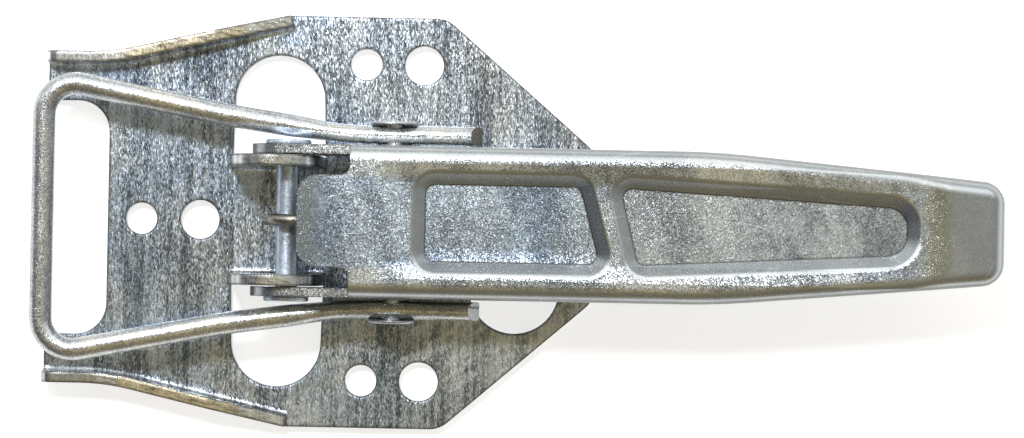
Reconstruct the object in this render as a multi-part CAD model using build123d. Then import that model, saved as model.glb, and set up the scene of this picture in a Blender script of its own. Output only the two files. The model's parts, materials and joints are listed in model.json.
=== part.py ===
from build123d import *
import os
from math import asin, atan2, cos, degrees, pi, radians, sin, sqrt, tan

# Over centre toggle latch, millimetres.
# Frame: the back of the base plate is z = 0, +Z points away from it. The pivot pin's axis, in the
# closed and unloaded latch, runs along Y at x = 0. +X points along the closed lever to its tip, and
# the wire bail reaches out towards -X.

# ---------------------------------------------------------------- running fits and gaps
pin_fit = 0.05          # radial play of a pin or rivet in a round hole
slot_fit = 0.10         # play of the pivot pin in the slots of the base ears, on each side
side_gap = 0.35         # base ear to lever ear
tongue_gap = 2.15       # lever tongue to base ear
head_gap = 0.15         # rivet and pin heads to the sheet they hold
leg_gap = 0.65          # lever wall to bail leg
seat_gap = 0.30         # lever wall to base plate when closed

# ---------------------------------------------------------------- base plate
plate_t = 3.0           # sheet thickness
bend_r = 1.2            # inside radius of the folds
neutral = 0.42          # where the fold's neutral line lies, as a share of the sheet
plate_front = -66.4     # ends of the fork's prongs
plate_back = 83.6       # short straight edge under the lever
plate_half_w = 55.6
plate_corner_x = 41.0   # where the long side edges turn into the slanted ones
back_half_w = 18.7      # half the length of the short back edge, before its corners are rounded
side_corner_r = 7.5
back_corner_r = 12.0

neck_half_w = 44.6      # over the outer faces of the flanges
neck_straight = 17.5    # length of the neck's parallel part
shoulder_x = -1.1       # where the slanted flanges reach the full width
neck_curve_r = 60.0     # plan radius between parallel and slanted flange
flange_h = 6.5          # above the plate's upper face
flange_runout = 20.0    # length over which the flange dies away at the shoulder
flange_tip_r = 3.0      # rounded front corner of the flange

fork_half_w = 31.6      # the notch between the prongs
fork_depth = 16.6
fork_corner_r = 8.5
prong_tip_r = 2.0       # inner front corners of the prongs

small_hole_d = 8.5      # clearance for an M8 bolt
large_hole_d = 10.5     # clearance for an M10 bolt
front_small_x = -40.7
front_large_x = -24.85
side_small_x = 19.45
side_large_x = 35.1
side_hole_y = 42.8

# ---------------------------------------------------------------- pivot
pivot_z = 20.0          # height of the pin over the plate's back
pin_d = 6.0
pin_head_d = 12.0
pin_head_t = 1.2
pin_travel = 7.4        # how far the spring lets the pin run in its slots
ear_w = 24.2            # width of the ears lanced out of the plate
ear_flare = 0.5         # the ears and their windows widen by this on each side, down to the fold
ear_inside = 28.5       # between the inner faces of the base ears

# ---------------------------------------------------------------- spring and its anchor tab
spring_wire = 3.4
spring_coil_d = 13.5    # mean diameter
spring_pitch = 3.6
spring_turns = 8
hook_wrap = 40          # degrees the hooks reach round past half a turn
hook_swing = 60         # degrees of coil used by the bend into a hook
hook_lead = 5.0         # length of that bend along the spring
tab_window_w = 24.2     # width of the window that the tab was lanced from
tab_window_x = 60.5
tab_window_y = -17.2    # centre of the window's round end
tab_top_z = 22.5
tab_corner_r = 7.0
tab_hole_z = 14.5
hook_play = 0.5         # anchor hole over the spring wire, on the radius

# ---------------------------------------------------------------- lever
lever_t = 2.5
lever_top_z = 33.5
lever_tip_x = 189.6
lever_tip_half_w = 13.3
taper_x = 113.0         # where the lever starts to narrow
corner_r = 4.0          # outer radius along the top edges
tip_corner_r = 6.5      # plan radius at the tip
tip_bend_x = 168.0      # where the top starts to curve down to the tip
tip_drop = 5.0
tip_depth = 6.0         # wall below the tip's rounding
tip_bend_r = 70.0
tip_nose_r = 6.0
taper_r = 200.0
lever_ear_r = 9.5       # ear round the pivot pin
heel_x = 62.0           # where the lower edge of the side walls starts to rise to the tip
heel_z = 8.5
heel_r = 150.0
tongue_x = 3.1
tongue_corner_r = 5.5
tongue_droop = 1.6
tongue_bend = 6.0
tongue_bend_r = 14.0
notch_x = 17.0          # right end of the notches beside the tongue
notch_r = 2.5

pocket_depth = 4.0
pocket_slope = 40.0     # degrees from upright
pocket_half_w = 10.0
pocket_floor_r = 2.4    # corners of the pocket floors
far_pocket_end_r = 5.2
pocket_rim_r = 1.6
near_pocket_x = 36.9
near_pocket_top_x = 77.3
near_pocket_low_x = 82.7
far_pocket_top_x = 88.0
far_pocket_low_x = 92.8
far_pocket_end_x = 163.2
far_pocket_end_half_w = 6.0

# ---------------------------------------------------------------- bail and its rivets
wire_d = 6.0
leg_t = 5.1             # flattened leg, across
leg_h = 6.8             # flattened leg, upright
eye_d = 11.5            # pressed eye round the rivet
rivet_x = 27.9          # from the pivot, along the closed lever
rivet_z = 16.5          # below the pivot: the latch is over centre
rivet_d = 5.0
rivet_head_d = 12.5
rivet_head_t = 1.3
rivet_collar_d = 9.0    # shoulder between lever wall and bail leg
tail_l = 23.4           # leg beyond the rivet
tail_slant = 3.0        # how far the cut end leans back
leg_straight = 13.0     # from the rivet to the kink where the leg splays
leg_bend_r = 80.0
round_from = 15.0       # from that kink to where the wire is round again
knee_x = 44.3           # second, slighter kink, from the rivet
knee_y = 27.7
knee_r = 150.0
bail_half_w = 37.2      # where the lines of leg and crossbar meet, to the wire's centre
bail_corner_r = 8.5
bail_reach = 93.4       # rivet to the crossbar's centre
crossbar_z = 17.0       # height of the crossbar's centre, with the bail held level


# ================================================================ helpers
def mitred(points, inset):
    """The open polyline moved sideways by inset, to its right, with mitred corners."""
    moved = []
    for i, point in enumerate(points):
        ahead = points[min(i + 1, len(points) - 1)]
        behind = points[max(i - 1, 0)]
        turn_in = atan2(point[1] - behind[1], point[0] - behind[0])
        turn_out = atan2(ahead[1] - point[1], ahead[0] - point[0])
        if i == 0:
            turn_in = turn_out
        if i == len(points) - 1:
            turn_out = turn_in
        middle = (turn_in + turn_out) / 2
        reach = inset / cos((turn_out - turn_in) / 2)
        moved.append((point[0] + reach * sin(middle), point[1] - reach * cos(middle)))
    return moved


def upright(sketch, half_width):
    """A sketch drawn with x along X and y along Z, extruded to both sides of the mid plane."""
    return extrude(Plane.XZ * sketch, half_width, both=True)


def cross_rod(diameter, x, z, y_low, y_high):
    """A round rod along Y."""
    rod = Cylinder(diameter / 2, y_high - y_low)
    return Pos(x, (y_low + y_high) / 2, z) * Rot(90, 0, 0) * rod


def mirrored(shape):
    """The same piece on the other side of the latch."""
    return mirror(shape, Plane.XZ)


# ================================================================ base plate
fold_outer = plate_t + bend_r
fold_length = pi / 2 * (bend_r + neutral * plate_t)     # flat length used up by one fold
fork_x = plate_front + fork_depth
ear_x = -pin_travel / 2                                 # the ears are centred on their slots
ear_outside = ear_inside / 2 + plate_t
ear_fold_y = ear_inside / 2 - bend_r                    # where the fold starts
ear_top_z = pivot_z + ear_w / 2
ear_window_end = ear_fold_y + fold_length + ear_top_z - fold_outer


neck_kink_x = plate_front + neck_straight
neck_turn = atan2(plate_half_w - neck_half_w, shoulder_x - neck_kink_x)
neck_lead = neck_curve_r * tan(neck_turn / 2)           # from the kink to the start of its curve


def neck_points(setback):
    """The neck's edge and slanted shoulder, set back from the flange's outer face."""
    outer = [(plate_front, neck_half_w), (neck_kink_x, neck_half_w), (shoulder_x, plate_half_w)]
    return mitred(outer, setback)


def flange():
    """Bent-up flange along one side of the neck, dying away at the shoulder."""
    start = neck_half_w - fold_outer
    top = plate_t + flange_h
    profile = make_face(
        [
            Line((start, 0), (start, plate_t)),
            CenterArc((start, fold_outer), bend_r, -90, 90),
            Line((start + bend_r, fold_outer), (start + bend_r, top)),
            Line((start + bend_r, top), (neck_half_w, top)),
            Line((neck_half_w, top), (neck_half_w, fold_outer)),
            CenterArc((start, fold_outer), fold_outer, -90, 90),
        ]
    )
    curve_x = neck_kink_x - neck_lead
    curve_y = neck_half_w + neck_curve_r
    slant_l = (shoulder_x - neck_kink_x) / cos(neck_turn) - neck_lead
    section = Plane.YZ.offset(curve_x) * profile
    to_slant = Pos(curve_x, curve_y, 0) * Rot(0, 0, degrees(neck_turn)) * Pos(-curve_x, -curve_y, 0)
    wall = extrude(section, plate_front - curve_x)
    wall += revolve(section, Axis((curve_x, curve_y, 0), (0, 0, 1)), degrees(neck_turn))
    wall += to_slant * extrude(section, slant_l)

    over = top + 1
    beyond = shoulder_x + fold_outer
    runout = Polyline(
        (shoulder_x - flange_runout, over),
        (shoulder_x - flange_runout, top),
        (beyond, fold_outer),
        (beyond, over),
        close=True,
    )
    wall -= upright(make_face(runout), plate_half_w + fold_outer)
    corner = Pos(plate_front, neck_half_w, top)
    tip = Box(2 * flange_tip_r, 4 * fold_outer, 2 * flange_tip_r)
    tip -= cross_rod(2 * flange_tip_r, flange_tip_r, -flange_tip_r, -3 * fold_outer, 3 * fold_outer)
    return wall - corner * tip


def plate_blank():
    """The flat part of the base: outline, fork, bolt holes and the windows of ears and tab."""
    edge = neck_points(fold_outer)
    side = FilletPolyline(*edge, radius=neck_curve_r + fold_outer)
    side_end = edge[-1]
    outer = FilletPolyline(
        side_end,
        (shoulder_x, plate_half_w),
        (plate_corner_x, plate_half_w),
        (plate_back, back_half_w),
        (plate_back, 0),
        radius=[0, side_corner_r, back_corner_r],
    )
    front = Line(edge[0], (plate_front, 0))
    middle = Line((plate_front, 0), (plate_back, 0))
    half = extrude(make_face([*side.edges(), *outer.edges(), middle, front]), plate_t)
    sheet = half + mirrored(half)

    fork = FilletPolyline(
        (plate_front - 1, fork_half_w),
        (fork_x, fork_half_w),
        (fork_x, -fork_half_w),
        (plate_front - 1, -fork_half_w),
        radius=[fork_corner_r, fork_corner_r],
    )
    fork_face = make_face([*fork.edges(), Line(fork @ 1, fork @ 0)])
    sheet -= Pos(0, 0, -1) * extrude(fork_face, plate_t + 2)

    small = [(front_small_x, 0), (side_small_x, side_hole_y), (side_small_x, -side_hole_y)]
    large = [(front_large_x, 0), (side_large_x, side_hole_y), (side_large_x, -side_hole_y)]
    for x, y in small:
        sheet -= Pos(x, y, 0) * Cylinder(small_hole_d / 2, 3 * plate_t)
    for x, y in large:
        sheet -= Pos(x, y, 0) * Cylinder(large_hole_d / 2, 3 * plate_t)
    window = ear_window()
    sheet = sheet - window - mirrored(window) - tab_window()
    at_front = sheet.edges().filter_by(Axis.Z).group_by(Axis.X)[0]
    prong_corners = [e for e in at_front if abs((e @ 0).Y) < fork_half_w + prong_tip_r]
    return fillet(prong_corners, prong_tip_r)


def tapered(width, flare, foot, head):
    """Face whose sides run in from width plus flares at foot to the bare width at head."""
    wide = width / 2 + flare
    return make_face(Polyline((-wide, foot), (wide, foot), (width / 2, head), (-width / 2, head), close=True))


def rounded_window(width, flare, x, fold_y, end_y):
    """A lanced window: sides that run in from the fold line, and a half-round far end."""
    reach = end_y - fold_y
    straight = abs(reach) - width / 2
    centre = fold_y + straight * (1 if reach > 0 else -1)
    slab = Pos(x, 0, 0) * extrude(tapered(width, flare, fold_y, centre), 2 * plate_t, both=True)
    return slab + Pos(x, centre, 0) * Cylinder(width / 2, 4 * plate_t)


def ear_window():
    """The window left in the plate where an ear was lanced out."""
    return rounded_window(ear_w, ear_flare, ear_x, ear_fold_y, ear_window_end)


def fold(width, x):
    """A quarter fold along X: it leaves the plate in +Y and ends upright."""
    ring = Cylinder(fold_outer, width) - Cylinder(bend_r, 2 * width)
    quarter = Pos(fold_outer / 2, fold_outer / 2, 0) * Box(fold_outer, fold_outer, 2 * width)
    return Pos(x, 0, fold_outer) * Rot(0, 90, 0) * (ring & quarter)


def ear():
    """Upright pivot ear with a round head and the pin's slot."""
    head = Pos(ear_x, pivot_z) * Circle(ear_w / 2)
    body = Pos(ear_x, 0) * tapered(ear_w, ear_flare, fold_outer, pivot_z)
    slot = Pos(ear_x, pivot_z) * SlotCenterToCenter(pin_travel, pin_d + 2 * slot_fit)
    wall = Pos(0, (ear_inside + plate_t) / 2, 0) * upright(head + body - slot, plate_t / 2)
    return wall + Pos(0, ear_fold_y, 0) * fold(ear_w + 2 * ear_flare, ear_x)


tab_w = tab_window_w
tab_fold_y = plate_t / 2 + bend_r                       # the tab stands on the mid plane
anchor_x = tab_window_x                                 # the hook's hole in the tab


def tab_window():
    """The window left in the plate where the anchor tab was lanced out."""
    return rounded_window(tab_window_w, 0, tab_window_x, tab_fold_y, tab_window_y - tab_window_w / 2)


def anchor_tab():
    """Upright tab on the mid plane that holds the spring's far hook."""
    face = Pos(anchor_x, (fold_outer + tab_top_z) / 2) * Rectangle(tab_w, tab_top_z - fold_outer)
    face = fillet(face.vertices().group_by(Axis.Y)[-1], tab_corner_r)
    face -= Pos(anchor_x, tab_hole_z) * Circle(spring_wire / 2 + hook_play)
    wall = upright(face, plate_t / 2)
    return wall + mirrored(Pos(0, -tab_fold_y, 0) * fold(tab_w, anchor_x))


def base_plate():
    """The whole base: one sheet with its flanges, ears and tab folded up."""
    side = flange() + ear()
    return plate_blank() + side + mirrored(side) + anchor_tab()


# ================================================================ lever
ear_wall_in = ear_outside + side_gap
lever_half_w = ear_wall_in + lever_t
tongue_half_w = ear_inside / 2 - tongue_gap
shoulder_z = lever_top_z - corner_r                     # where the rounded top edges meet the upright walls
tip_edge_z = lever_top_z - tip_drop - tip_depth
open_x = -3 * lever_ear_r                               # well clear of the lever's open end
lobe_r = rivet_z - plate_t - seat_gap                   # wall round the bail rivet, down to the plate


def lever_top_line(inset):
    """Side view of the top from the tongue to the tip, pulled in by inset."""
    outer = [
        (tongue_x, lever_top_z - tongue_droop),
        (tongue_x + tongue_bend, lever_top_z),
        (tip_bend_x, lever_top_z),
        (lever_tip_x, lever_top_z - tip_drop),
        (lever_tip_x, tip_edge_z),
    ]
    points = mitred(outer, inset)
    radii = [tongue_bend_r - inset, tip_bend_r - inset, tip_nose_r - inset]
    return points, FilletPolyline(*points, radius=radii)


def lever_plan(inset):
    """Plan outline of the lever, pulled in by inset on its sides and tip."""
    side = [(open_x, lever_half_w), (taper_x, lever_half_w), (lever_tip_x, lever_tip_half_w)]
    upper = mitred([*side, (lever_tip_x, 0)], inset)[:-1]
    lower = [(x, -y) for x, y in reversed(upper)]
    corners = [taper_r - inset, tip_corner_r - inset]
    outline = FilletPolyline(*upper, *lower, radius=corners + corners[::-1])
    return make_face([*outline.edges(), Line(outline @ 1, outline @ 0)])


def lever_block(inset):
    """Solid under the top line and inside the plan outline, with rounded top edges."""
    points, top = lever_top_line(inset)
    start = points[0]
    end = points[-1]
    floor_z = -lever_top_z
    side = make_face(
        [
            *top.edges(),
            Line(end, (end[0], floor_z)),
            Line((end[0], floor_z), (open_x, floor_z)),
            Line((open_x, floor_z), (open_x, start[1])),
            Line((open_x, start[1]), start),
        ]
    )
    plan = Pos(0, 0, floor_z) * extrude(lever_plan(inset), 3 * lever_top_z)
    block = upright(side, 2 * lever_half_w) & plan
    rounded = [e for e in block.edges() if is_rim(e, inset)]
    return fillet(rounded, corner_r - inset)


def is_rim(edge, inset):
    """True for the edges between the top of the lever and its side walls."""
    middle = edge @ 0.5
    box = edge.bounding_box()
    above = box.min.Z > tip_edge_z
    across = box.size.Y > 1.9 * (lever_half_w - inset)
    upright_edge = box.size.Z > box.size.X + box.size.Y
    return above and not across and not upright_edge and abs(middle.Y) > tongue_corner_r


def lever_side():
    """Side view of the lever's walls: pivot ear, lobe round the rivet, and the rising lower edge."""
    ear_round = Pos(0, pivot_z) * Circle(lever_ear_r)
    lobe = Pos(rivet_x, rivet_z) * Circle(lobe_r)
    web = make_hull([*ear_round.edges(), *lobe.edges()])
    beyond = lever_tip_x + 1
    over = 2 * lever_top_z
    lobe_foot = (rivet_x, rivet_z - lobe_r)
    lower = FilletPolyline(lobe_foot, (heel_x, heel_z), (beyond, tip_edge_z), radius=heel_r)
    rest = Polyline(
        (beyond, tip_edge_z),
        (beyond, over),
        (tongue_x, over),
        (tongue_x, shoulder_z),
        (0, shoulder_z),
        (0, pivot_z),
        (rivet_x, rivet_z),
        lobe_foot,
    )
    body = make_face([*lower.edges(), *rest.edges()])
    return ear_round + lobe + web + body


def notch_tool():
    """What is cut off the top on both sides of the tongue, and the throat between the ears."""
    reach = 2 * (notch_x - tongue_x)
    tongue = RectangleRounded(reach, 2 * tongue_half_w, tongue_corner_r)
    strip = Pos((notch_x + open_x) / 2, 0) * Rectangle(notch_x - open_x, 3 * lever_half_w)
    cut = strip - Pos(tongue_x + reach / 2, 0) * tongue
    inner = [v for v in cut.vertices() if abs(v.X - notch_x) < 0.01 and abs(v.Y) < lever_half_w]
    cut = fillet(inner, notch_r)
    throat = cut & Pos(open_x, 0) * Rectangle(4 * lever_top_z, 2 * ear_wall_in)
    return Pos(0, 0, shoulder_z) * extrude(cut, lever_top_z) + extrude(throat, lever_top_z)


def pocket_floor(corners, radii):
    """Outline of a pocket's floor."""
    return make_face(FilletPolyline(*corners, radius=radii, close=True).edges())


def near_pocket():
    w = pocket_half_w
    corners = [(near_pocket_x, w), (near_pocket_top_x, w), (near_pocket_low_x, -w), (near_pocket_x, -w)]
    return pocket_floor(corners, [pocket_floor_r] * 4)


def far_pocket():
    w = pocket_half_w
    end_x = far_pocket_end_x
    end_w = far_pocket_end_half_w
    corners = [(far_pocket_top_x, w), (end_x, end_w), (end_x, -end_w), (far_pocket_low_x, -w)]
    return pocket_floor(corners, [pocket_floor_r, far_pocket_end_r, far_pocket_end_r, pocket_floor_r])


def pocket_swell(floor):
    """The bulge a pocket makes on the underside of the sheet."""
    slope = radians(pocket_slope)
    grow = lever_t * (1 - sin(slope)) / cos(slope)
    under = Pos(0, 0, lever_top_z - pocket_depth - lever_t) * offset(floor, grow)
    return extrude(under, pocket_depth + lever_t / 2, taper=-pocket_slope)


def pocket_hollow(floor):
    """What the pocket takes out of the sheet from above."""
    base = Pos(0, 0, lever_top_z - pocket_depth) * floor
    return extrude(base, pocket_depth + lever_t, taper=-pocket_slope)


def lever():
    """Pressed lever: one sheet with side walls, ears, tongue and two sunk pockets."""
    floors = [near_pocket(), far_pocket()]
    inside = lever_block(lever_t)
    for floor in floors:
        inside -= pocket_swell(floor)
    shell = lever_block(0) - inside
    for floor in floors:
        shell -= pocket_hollow(floor)
    rim = [
        e
        for e in shell.edges()
        if abs(e.bounding_box().min.Z - lever_top_z) < 0.001
        and near_pocket_x - 2 * pocket_depth < (e @ 0.5).X < far_pocket_end_x + 2 * pocket_depth
        and abs((e @ 0.5).Y) < lever_half_w - corner_r - 0.5
    ]
    shell = fillet(rim, pocket_rim_r)
    shell &= upright(lever_side(), 2 * lever_half_w)
    shell -= notch_tool()
    shell -= cross_rod(pin_d + 2 * pin_fit, 0, pivot_z, -2 * lever_half_w, 2 * lever_half_w)
    shell -= cross_rod(rivet_d + 2 * pin_fit, rivet_x, rivet_z, -2 * lever_half_w, 2 * lever_half_w)
    return shell


# ================================================================ pivot pin
def pivot_pin():
    """Cross pin with a head at each end, outside the lever's ears."""
    inner = lever_half_w + head_gap
    outer = inner + pin_head_t
    pin = cross_rod(pin_d, 0, pivot_z, -outer, outer)
    head = cross_rod(pin_head_d, 0, pivot_z, inner, outer)
    rim = head.edges().filter_by(GeomType.CIRCLE).sort_by(Axis.Y)[-1]
    head = fillet(rim, 0.55 * pin_head_t)
    return pin + head + mirrored(head)


# ================================================================ bail
leg_in = lever_half_w + leg_gap
leg_y = leg_in + leg_t / 2
bail_drop = asin((rivet_z - crossbar_z) / bail_reach)
splay = atan2(knee_y - leg_y, knee_x - leg_straight)
splay_lead = leg_bend_r * tan(splay / 2)                # from the kink to the start of its curve
to_splay = Pos(-leg_straight, leg_y, 0) * Rot(0, 0, -degrees(splay))


def laid(shape):
    """From the bail's own plane, with the rivets at x = 0, to its resting place in the latch."""
    return Pos(rivet_x, 0, rivet_z) * Rot(0, -degrees(bail_drop), 0) * shape


def wire_loop():
    """Round wire: splayed legs, corners and crossbar."""
    start = (to_splay * Pos(-round_from, 0, 0)).position
    half = [(start.X, start.Y), (-knee_x, knee_y), (-bail_reach, bail_half_w)]
    lower = [(x, -y) for x, y in reversed(half)]
    radii = [knee_r, bail_corner_r, bail_corner_r, knee_r]
    path = FilletPolyline(*half, *lower, radius=radii)
    section = Plane(origin=path @ 0, z_dir=path % 0) * Circle(wire_d / 2)
    return sweep(section, path=path.wire())


def flat_leg():
    """Flattened end of a leg: slanting cut, pressed eye, bend, and the swage back to round wire."""
    flat = Plane.YZ * Ellipse(leg_t / 2, leg_h / 2)
    bend_x = splay_lead - leg_straight
    bar = Pos(bend_x, leg_y, 0) * extrude(flat, tail_l - bend_x)
    centre = Axis((bend_x, leg_y + leg_bend_r, 0), (0, 0, -1))
    bend = revolve(Pos(bend_x, leg_y, 0) * flat, centre, degrees(splay))
    swage = loft([Pos(-splay_lead, 0, 0) * flat, Plane.YZ.offset(-round_from) * Circle(wire_d / 2)])
    eye = cross_rod(eye_d, 0, 0, leg_in, leg_in + leg_t)
    eye = fillet(eye.edges().filter_by(GeomType.CIRCLE), leg_t / 5)
    cut = Polyline(
        (tail_l - tail_slant, leg_h / 2),
        (tail_l - tail_slant, leg_h),
        (tail_l + 1, leg_h),
        (tail_l + 1, -leg_h / 4),
        (tail_l, -leg_h / 4),
        close=True,
    )
    return bar + bend + to_splay * swage + eye - upright(make_face(cut), 2 * leg_y)


def bail():
    """Wire loop with both flattened legs, bored for the rivets."""
    leg = flat_leg()
    loop = wire_loop() + leg + mirrored(leg)
    loop -= cross_rod(rivet_d + 2 * pin_fit, 0, 0, -2 * leg_y, 2 * leg_y)
    return laid(loop)


def bail_rivet():
    """Shouldered rivet through the lever's wall and the bail's eye, on the +Y side."""
    head_in = ear_wall_in - head_gap
    head_out = leg_in + leg_t + head_gap
    shank = cross_rod(rivet_d, 0, 0, head_in - rivet_head_t, head_out + rivet_head_t)
    inner = cross_rod(rivet_head_d, 0, 0, head_in - rivet_head_t, head_in)
    inner = fillet(inner.edges().filter_by(GeomType.CIRCLE).sort_by(Axis.Y)[0], rivet_head_t / 2)
    outer = cross_rod(rivet_head_d, 0, 0, head_out, head_out + rivet_head_t)
    outer = fillet(outer.edges().filter_by(GeomType.CIRCLE).sort_by(Axis.Y)[-1], rivet_head_t / 2)
    collar = cross_rod(rivet_collar_d, 0, 0, lever_half_w + head_gap, leg_in - head_gap)
    return Pos(rivet_x, 0, rivet_z) * (shank + inner + outer + collar)


# ================================================================ spring
loop_r = spring_coil_d / 2
hook_x = loop_r - spring_wire / 2 - pin_d / 2 - slot_fit  # centre of the loop round the pin
held_x = anchor_x - hook_play / 2                       # the hook bears on the near side of its hole
spring_span = sqrt((held_x - hook_x) ** 2 + (pivot_z - tab_hole_z) ** 2) - loop_r
spring_fall = atan2(pivot_z - tab_hole_z, held_x - hook_x)                  # it runs down to the tab
coil_turns = spring_turns + (90 - 2 * hook_swing) / 360  # the hooks lie a quarter turn apart
coil_l = coil_turns * spring_pitch
coil_start = (spring_span - coil_l) / 2


def spring_path():
    """Centre line of the wire, with the spring's axis along Z and the pin's hook in the XZ plane."""
    climb = atan2(spring_pitch, 2 * pi * loop_r)
    swing = radians(hook_swing)
    leave = (loop_r, 0, coil_start - hook_lead)
    meet = (loop_r * cos(swing), loop_r * sin(swing), coil_start)
    heading = (-sin(swing) * cos(climb), cos(swing) * cos(climb), sin(climb))
    loop = Plane.XZ * CenterArc((0, 0), loop_r, -180 - hook_wrap, 180 + hook_wrap)
    shank = Line((loop_r, 0, 0), leave)
    bend = Spline(leave, meet, tangents=[(0, 0, 1), heading])
    near_end = [loop, shank, bend]
    coil = Pos(0, 0, coil_start) * Rot(0, 0, hook_swing) * Helix(spring_pitch, coil_l, loop_r)
    turned = Pos(0, 0, spring_span) * Rot(0, 0, 90) * Rot(180, 0, 0)
    far_end = [turned * edge for edge in near_end]
    return near_end, coil, far_end


def wire_along(edge):
    """Spring wire along one smooth edge."""
    start = Plane(origin=edge @ 0, z_dir=edge % 0)
    return sweep(start * Circle(spring_wire / 2), path=edge)


def spring():
    """Extension spring: a hook over the pin, the coil, and a hook through the anchor tab."""
    near_end, coil, far_end = spring_path()
    body = wire_along(coil)
    for edge in [*near_end[::-1], *far_end[::-1]]:
        body += wire_along(edge)
    upward = (sin(spring_fall), 0, cos(spring_fall))
    along = (cos(spring_fall), 0, -sin(spring_fall))
    return Plane(origin=(hook_x, 0, pivot_z), x_dir=upward, z_dir=along) * body


def build():
    os.makedirs("parts", exist_ok=True)
    rivet = bail_rivet()
    pieces = {
        "base_plate": base_plate(),
        "lever": lever(),
        "pivot_pin": pivot_pin(),
        "bail": bail(),
        "bail_rivet_left": rivet,
        "bail_rivet_right": mirrored(rivet),
        "spring": spring(),
    }
    for name, shape in pieces.items():
        solids = shape.solids()
        print(name, len(solids), round(sum(s.volume for s in solids), 1), shape.bounding_box())
        export_step(shape, f"parts/{name}.step")


if __name__ == "__main__":
    build()
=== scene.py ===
"""Looks of a zinc plated over centre toggle latch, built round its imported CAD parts.

The base plate, the lever and the bail keep their CAD meshes and get procedural finishes. The pull spring,
the pivot pin and the bail rivets are worked out here as numpy surfaces that stand for their CAD nodes.
All lengths are metres in the frame of the CAD: z = 0 is the back of the base plate, +X points along the
closed lever to its tip, and the pivot pin lies along Y over the origin.
"""

import json
import logging
import math
from dataclasses import dataclass
from enum import Enum

import bpy
import numpy as np
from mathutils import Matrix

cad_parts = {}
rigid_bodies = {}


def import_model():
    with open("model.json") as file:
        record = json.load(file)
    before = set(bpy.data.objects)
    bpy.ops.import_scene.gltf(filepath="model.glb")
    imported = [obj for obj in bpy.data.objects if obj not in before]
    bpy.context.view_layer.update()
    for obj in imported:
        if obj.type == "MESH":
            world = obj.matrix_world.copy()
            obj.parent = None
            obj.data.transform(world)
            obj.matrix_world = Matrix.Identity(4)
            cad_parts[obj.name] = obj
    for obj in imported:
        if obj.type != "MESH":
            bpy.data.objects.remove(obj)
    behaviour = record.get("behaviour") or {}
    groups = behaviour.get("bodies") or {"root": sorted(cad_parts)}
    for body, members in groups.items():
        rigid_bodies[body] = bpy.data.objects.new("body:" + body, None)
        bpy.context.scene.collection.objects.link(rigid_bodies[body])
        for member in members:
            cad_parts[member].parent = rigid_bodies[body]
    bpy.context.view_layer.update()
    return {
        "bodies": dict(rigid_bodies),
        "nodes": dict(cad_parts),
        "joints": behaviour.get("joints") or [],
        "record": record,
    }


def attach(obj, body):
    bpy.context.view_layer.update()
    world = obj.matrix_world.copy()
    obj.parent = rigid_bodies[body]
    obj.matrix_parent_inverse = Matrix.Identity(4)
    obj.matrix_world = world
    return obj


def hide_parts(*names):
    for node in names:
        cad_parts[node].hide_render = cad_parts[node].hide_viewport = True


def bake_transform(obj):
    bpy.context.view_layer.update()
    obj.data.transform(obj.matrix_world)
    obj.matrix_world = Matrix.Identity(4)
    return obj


LOG = logging.getLogger("latch")
MM = 0.001
Colour = tuple[float, float, float]
Ramp = tuple[float, float]
Node = bpy.types.Node
Piece = bpy.types.Object
Socket = bpy.types.NodeSocket
Value = bpy.types.NodeSocket | float | tuple


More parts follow.
